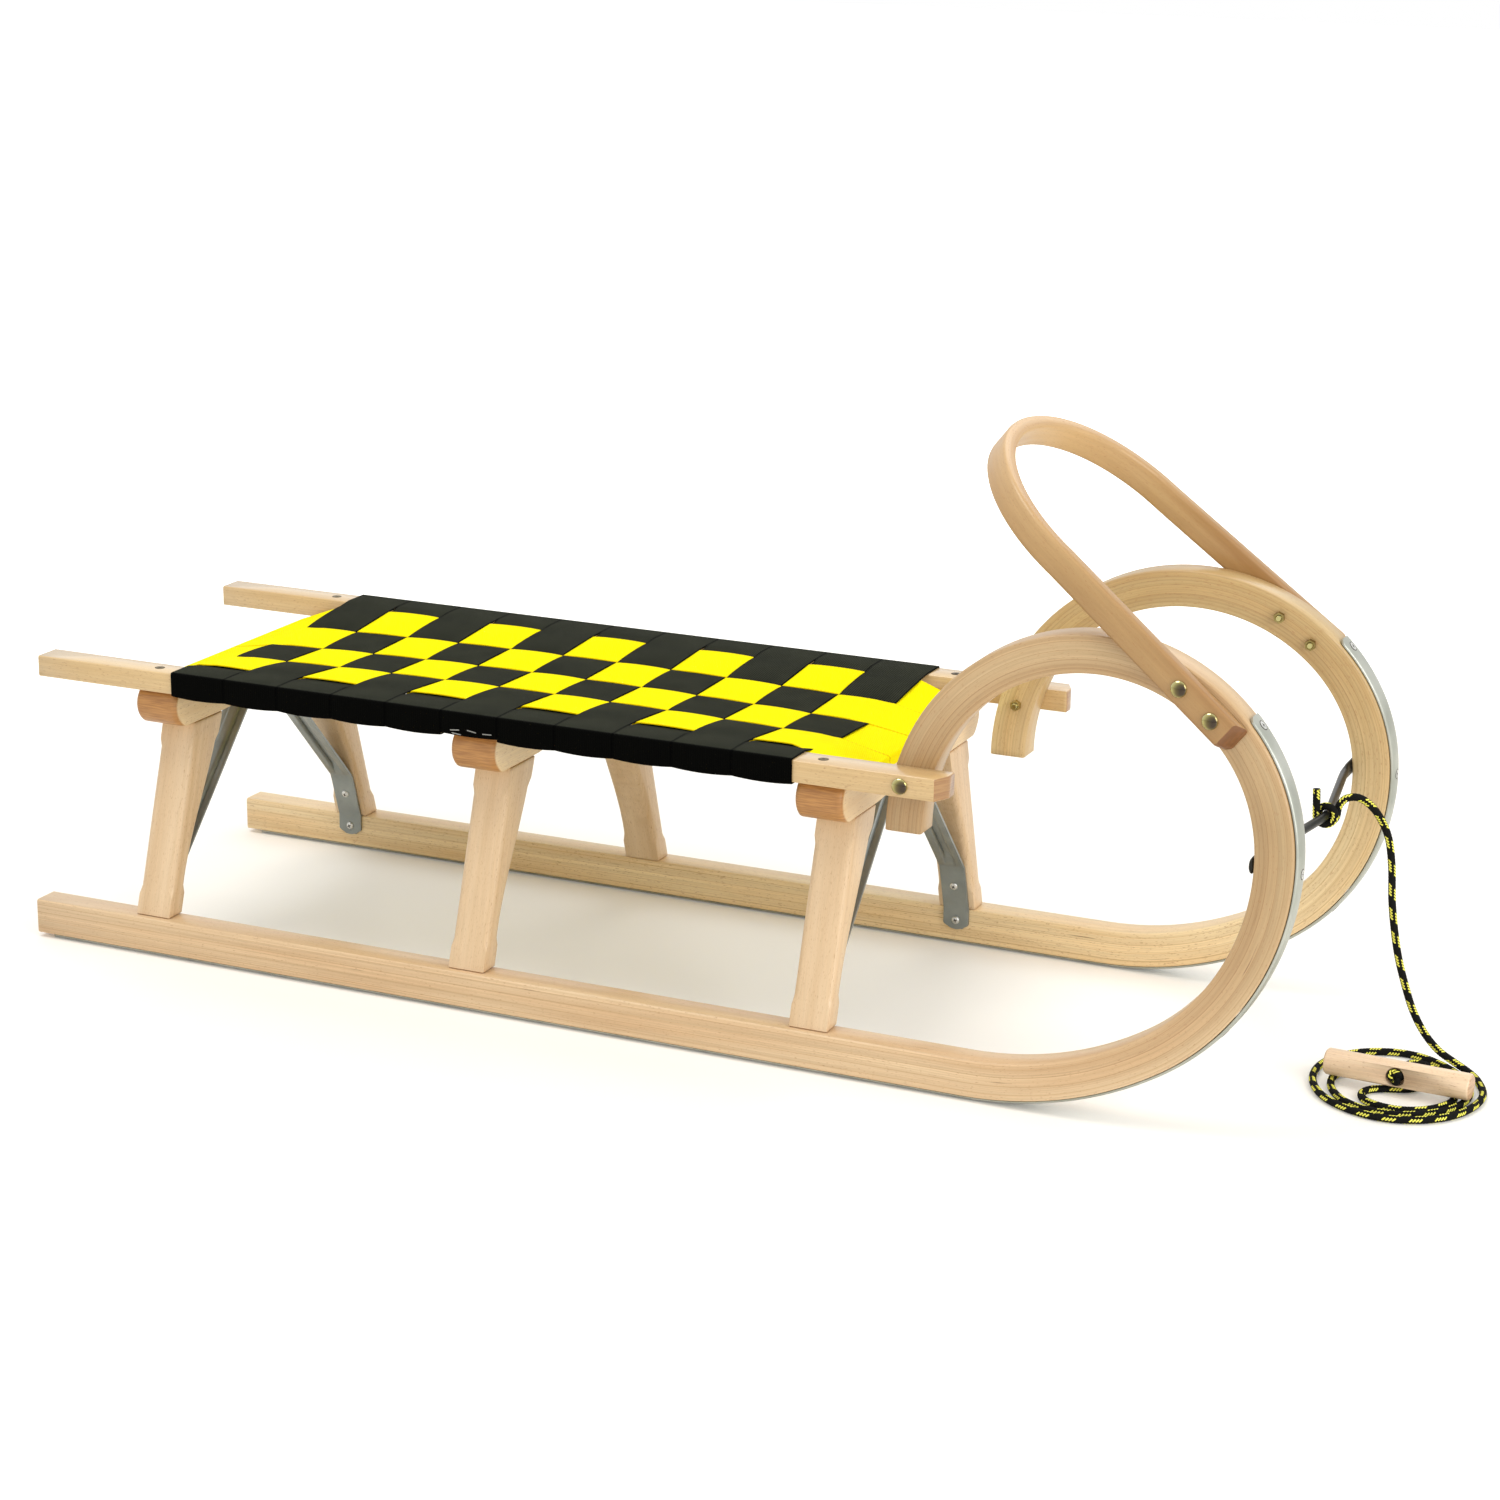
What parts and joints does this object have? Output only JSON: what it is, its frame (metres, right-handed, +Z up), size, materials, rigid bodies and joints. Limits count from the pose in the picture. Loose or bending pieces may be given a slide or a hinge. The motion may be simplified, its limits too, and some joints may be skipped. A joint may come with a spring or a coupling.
{
  "type": "horn sled",
  "caption": "Wooden horn sled with curled runners, steel shoes, a woven strap seat, a bow between the horns and a pull rope with a wooden handle",
  "frame": {"origin": "on the ground under the middle of the sled's box, with the rope and its handle left out of that box", "axes": "+X forward, where the horns and the bow are; +Y to the sled's left; +Z up"},
  "size_m": [1.2207, 0.3578, 0.4954],
  "materials": {
    "beech_frame": "pale beech boards, planed and varnished to a light shine",
    "bent_beech": "steam-bent laminated beech, a warmer brown, varnished",
    "beech_handle": "bare pinkish beech dowel, fine sanded",
    "shoe_steel": "smooth domed steel strip, dull grey",
    "brace_steel": "pressed steel strip, dark grey-green coat",
    "rod_steel": "dark coated round steel rod, half shiny",
    "yellow_zinc": "steel with a yellow zinc plating",
    "black_webbing": "black woven polypropylene webbing with fine ribs",
    "yellow_webbing": "bright yellow woven polypropylene webbing with fine ribs",
    "rope": "black braided rope with yellow flecks"
  },
  "bodies": {
    "root": {"bolt_bow_lower_left": "yellow_zinc", "bolt_bow_lower_right": "yellow_zinc", "bolt_bow_upper_left": "yellow_zinc", "bolt_bow_upper_right": "yellow_zinc", "bolt_rail_left": "yellow_zinc", "bolt_rail_right": "yellow_zinc", "bow_handle": "bent_beech", "brace_front": "brace_steel", "brace_rear": "brace_steel", "cross_strap_01": "black_webbing", "cross_strap_02": "black_webbing", "cross_strap_03": "black_webbing", "cross_strap_04": "black_webbing", "cross_strap_05": "black_webbing", "cross_strap_06": "black_webbing", "cross_strap_07": "black_webbing", "cross_strap_08": "black_webbing", "cross_strap_09": "black_webbing", "cross_strap_10": "black_webbing", "cross_strap_11": "black_webbing", "crossbeam_front": "beech_frame", "crossbeam_middle": "beech_frame", "crossbeam_rear": "beech_frame", "leg_front_left": "beech_frame", "leg_front_right": "beech_frame", "leg_middle_left": "beech_frame", "leg_middle_right": "beech_frame", "leg_rear_left": "beech_frame", "leg_rear_right": "beech_frame", "long_strap_1": "yellow_webbing", "long_strap_2": "yellow_webbing", "long_strap_3": "yellow_webbing", "long_strap_4": "yellow_webbing", "nut_bow_lower_left": "yellow_zinc", "nut_bow_lower_right": "yellow_zinc", "nut_bow_upper_left": "yellow_zinc", "nut_bow_upper_right": "yellow_zinc", "nut_rail_left": "yellow_zinc", "nut_rail_right": "yellow_zinc", "pull_handle": "beech_handle", "rope_coil": "rope", "rope_drop": "rope", "rope_knot": "rope", "rope_stopper": "rope", "runner_left": "bent_beech", "runner_right": "bent_beech", "seat_rail_left": "beech_frame", "seat_rail_right": "beech_frame", "shoe_left": "shoe_steel", "shoe_right": "shoe_steel", "tie_rod": "rod_steel"}
  },
  "joints": []
}
